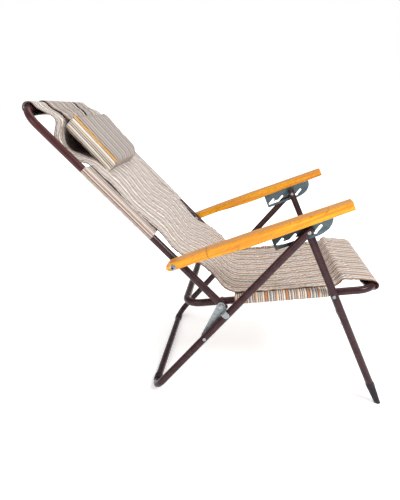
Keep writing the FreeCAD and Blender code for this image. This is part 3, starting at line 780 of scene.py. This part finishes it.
def buildPillow():
    # box point = core + radius * unit direction from the core, the core being the box less its edge radius
    size = np.array([(cushion["high"] - cushion["low"]) / 2, cushion["half"], cushion["thick"] / 2])
    cube, quads = quadBox(cushion["grid"])
    r = cushion["edge"]
    p = cube * size
    core = np.clip(p, -(size - r), size - r)
    offset = p - core
    length = np.linalg.norm(offset, axis=1, keepdims=True)
    p = np.where(length > 1e-9, core + offset / np.maximum(length, 1e-9) * r, p)
    # stripes run over the top and turn down the two end faces
    ends = np.abs(cube[:, 1]) > 0.999
    u = p[:, 1] + np.where(ends, np.sign(cube[:, 1]) * (1 - cube[:, 2]) * size[2], 0)
    obj = makeMesh("head_pillow_cloth", p, quads, mats["pillow_cloth"], np.stack([u, p[:, 0]], -1))
    inflate(obj)
    co = readPoints(obj.data)
    # the far lower corner is softer than the others: it gives way by the product of two distances
    corner = (np.clip(-co[:, 0] - cushion["corner"][0], 0, 1) * np.clip(co[:, 1] - cushion["corner"][1], 0, 1)
              * cushion["cornerGive"])
    # the lower end sits closer to the sling, the upper end is held up by the flap
    middle = (cushion["low"] + cushion["high"]) / 2 * 1000
    along = (co[:, 0] + corner) * 1000
    out = co[:, 2] * 1000 + cushion["stand"] + along * cushion["tilt"]
    side = mainPivot + np.outer(along + middle, backWay) / 1000 + np.outer(out, backOut) / 1000
    y = co[:, 1] - (cushion["aside"] + corner * cushion["cornerAside"])
    writePoints(obj.data, np.stack([side[:, 0], y, side[:, 1]], -1))
    # the side view's axes mirror the box, so its faces turn over again
    obj.data.flip_normals()
    obj.data.update()
    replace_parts(obj, "head_pillow")
    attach(obj, "back")
    return obj


pillow = buildPillow()
print("pillow made")

# piping: an orange cord sewn along the near upper edge of the pillow, with its ends a little short
piping = {"radius": 0.0021, "sides": 10, "stations": 34, "count": 120, "short": 0.004, "reach": 0.006,
          "proud": 0.0006}


def cordAlong(name, path, radius, sides, mat):
    # round cord: path + radius * (a * cosine + b * sine), with a and b square to the path, and capped ends
    way = np.gradient(path, axis=0)
    way /= np.linalg.norm(way, axis=1, keepdims=True)
    a = np.cross(way, [0.0, 0.0, 1.0])
    a /= np.maximum(np.linalg.norm(a, axis=1, keepdims=True), 1e-9)
    b = np.cross(way, a)
    t = np.linspace(0, 2 * math.pi, sides, endpoint=False)
    turn = a[:, None] * np.cos(t)[None, :, None] + b[:, None] * np.sin(t)[None, :, None]
    uv = np.stack(np.broadcast_arrays(t[None] * radius, runLength(path)[:, None]), -1)
    rows = len(path)
    faces = gridQuads(rows, sides, wrap=True).tolist()
    faces += [list(range(sides))[::-1], list(range((rows - 1) * sides, rows * sides))]
    return makeMesh(name, path[:, None] + radius * turn, faces, mat, uv)


def buildPiping():
    # at each station the cord lies on the pillow's point that is farthest out and near; a cubic smooths it
    co = readPoints(pillow.data)
    rel = co[:, [0, 2]] - mainPivot
    along, out, y = rel @ backWay, rel @ backOut, co[:, 1]
    path = []
    for a in np.linspace(cushion["low"] + piping["short"], cushion["high"] - piping["short"],
                         piping["stations"]):
        best = np.argmax(np.where(np.abs(along - a) < piping["reach"], out * 0.75 - y, -9.0))
        path.append((a, out[best] + piping["proud"], y[best] - piping["proud"]))
    path = np.array(path)
    for k in (1, 2):
        path[:, k] = np.polyval(np.polyfit(path[:, 0], path[:, k], 3), path[:, 0])
    side = np.array([onBack(a * 1000, h * 1000) for a, h in path[:, :2]])
    line, _ = spline(np.stack([side[:, 0], path[:, 2], side[:, 1]], -1), piping["count"])
    cord = cordAlong("pillow_piping", line, piping["radius"], piping["sides"], pipingCloth)
    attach(cord, "back")


buildPiping()

# flaps: near and far are the y of their two edges, at the bar and then at the pillow; the side line lies on
# the sling's, a little wider round the bar, and ends on the pillow
wideFlap = {"near": (-0.115, -0.138), "far": (0.100, 0.018), "seed": 51}
sideFlap = {"near": (0.112, 0.028), "far": (0.200, 0.128), "seed": 52}
flapShape = {"rows": 90, "cols": 84, "thick": 0.0012, "ahead": 2.0, "wider": 1.12,
             "toPillow": [(771, 14.8), (760, 17.0), (745, 22.5), (728, 31.0), (712, 35.6), (704, 36.6),
                          (696, 37.0), (689, 37.5)],
             "spreadFrom": 0.35, "ripple": 0.0008, "barLift": 0.0047, "barTilt": 0.0171,
             # shade is a painted shade over each whole flap, and the values after it a painted shadow along
             # its near edge, in the slit between the layers
             "shade": 0.15, "darkEdge": 0.3, "slitShadeAt": (0.0085, 0.0065),
             "slitShadeDeep": 1.1, "slitShadeDeepAt": (0.0065, 0.0050)}


def buildFlap(name, flap):
    # the side line sweeps from the near to the far edge, which part from the bar's y to the pillow's by the
    # share of the length; it is lifted by a ripple and, over the bar, by a hump that grows to the near side
    near, far = flap["near"], flap["far"]
    line = [(a + flapShape["ahead"], h * flapShape["wider"]) for a, h in behind] + flapShape["toPillow"]
    side, s = spline([onBack(*pair) for pair in line], flapShape["rows"])
    share = span(s / s[-1], flapShape["spreadFrom"], 1.0)[:, None]
    low = near[0] + (near[1] - near[0]) * share
    high = far[0] + (far[1] - far[0]) * share
    S, Y = np.meshgrid(s / s[-1], np.linspace(0, 1, flapShape["cols"]), indexing="ij")
    y = low + (high - low) * Y
    lift = flapShape["ripple"] * wave([S * 0.8, Y * 0.6], flap["seed"]) * np.clip(S * 3 - 1, 0, 1)
    lift += hump(s, overBar(side, s), sling["barWide"])[:, None] * (flapShape["barLift"]
                                                                    - y * flapShape["barTilt"])
    # painted shadow along the near edge, in the slit between the layers, carried by the shade value
    darkEdge = (flapShape["darkEdge"] * span(y - low, *flapShape["slitShadeAt"])
           + flapShape["slitShadeDeep"] * span(y - low, *flapShape["slitShadeDeepAt"]))
    uv = np.stack([near[0] + (far[0] - near[0]) * Y, np.broadcast_to(s[:, None], Y.shape),
                   flapShape["shade"] + darkEdge], -1)
    obj = clothSheet(name, liftedGrid(side, y, lift), uv, flapShape["thick"], flapCloth)
    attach(obj, "back")
    return obj


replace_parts(buildFlap("head_flap_wide", wideFlap), "pillow_straps")
buildFlap("head_flap_side", sideFlap)
print("piping and flaps made")

# pale floor: plain white far from the chair, and just below its feet
ground = {"half": 40, "z": -0.0002, "base": grey(0.93), "glow": grey(0.42), "whiteFrom": (0.3, 2.2)}


def floorBuild(start):
    # the glow rises to white by the square of the distance from the middle, so near by it takes the shadow
    p = place(start)
    x, y = p.part(0), p.part(1)
    far = (x * x + y * y).ease(*ground["whiteFrom"])
    return {"Base Color": ground["base"], "Emission Color": far.blend(ground["glow"], grey(1.0))}


floorMesh = bpy.data.meshes.new("floor")
corners = [(x * ground["half"], y * ground["half"], ground["z"])
           for x, y in ((-1, -1), (1, -1), (1, 1), (-1, 1))]
floorMesh.from_pydata(corners, [], [(0, 1, 2, 3)])
floorMesh.materials.append(surface("floorPaint", floorBuild, Roughness=0.9, Emission_Strength=1.0))
floor = bpy.data.objects.new("floor", floorMesh)
bpy.context.collection.objects.link(floor)

# studio: the world is seen as white and lights the chair with less
world = bpy.data.worlds.new("studio")
bpy.context.scene.world = world
world.use_nodes = True
sky = Sock(world.node_tree)
seen = sky.add("LightPath", output="Is Camera Ray")
ambient = sky.add("Background", {"Color": grey(1.0), "Strength": 0.42})
white = sky.add("Background", {"Color": grey(1.0), "Strength": 1.0})
both = sky.add("MixShader", {0: seen, 1: ambient, 2: white})
feed(world.node_tree, world.node_tree.nodes["World Output"].inputs, {"Surface": both})

lamps = {"key": {"spot": (1.7, -1.5, 2.4), "aim": (0, 0, 0.4), "size": 1.1, "power": 66},
         "fill": {"spot": (-1.6, -2.2, 1.8), "aim": (0, 0, 0.4), "size": 1.8, "power": 22},
         "top": {"spot": (0.2, 1.2, 3.0), "aim": (0, 0, 0.3), "size": 2.4, "power": 25}}


def areaLight(name, spot, aim, size, power):
    # round soft lamp at its spot, turned so that it looks at its aim
    data = bpy.data.lights.new(name, "AREA")
    data.shape = "DISK"
    data.size = size
    data.energy = power
    lamp = bpy.data.objects.new(name, data)
    bpy.context.collection.objects.link(lamp)
    lamp.location = spot
    way = np.array(aim, float) - np.array(spot, float)
    flat = math.hypot(way[0], way[1])
    lamp.rotation_euler = (math.atan2(flat, -way[2]), 0, math.atan2(-way[0], way[1]))


for name, lamp in lamps.items():
    areaLight(name, **lamp)
print("stage made")

bpy.context.scene.view_settings.view_transform = "Standard"
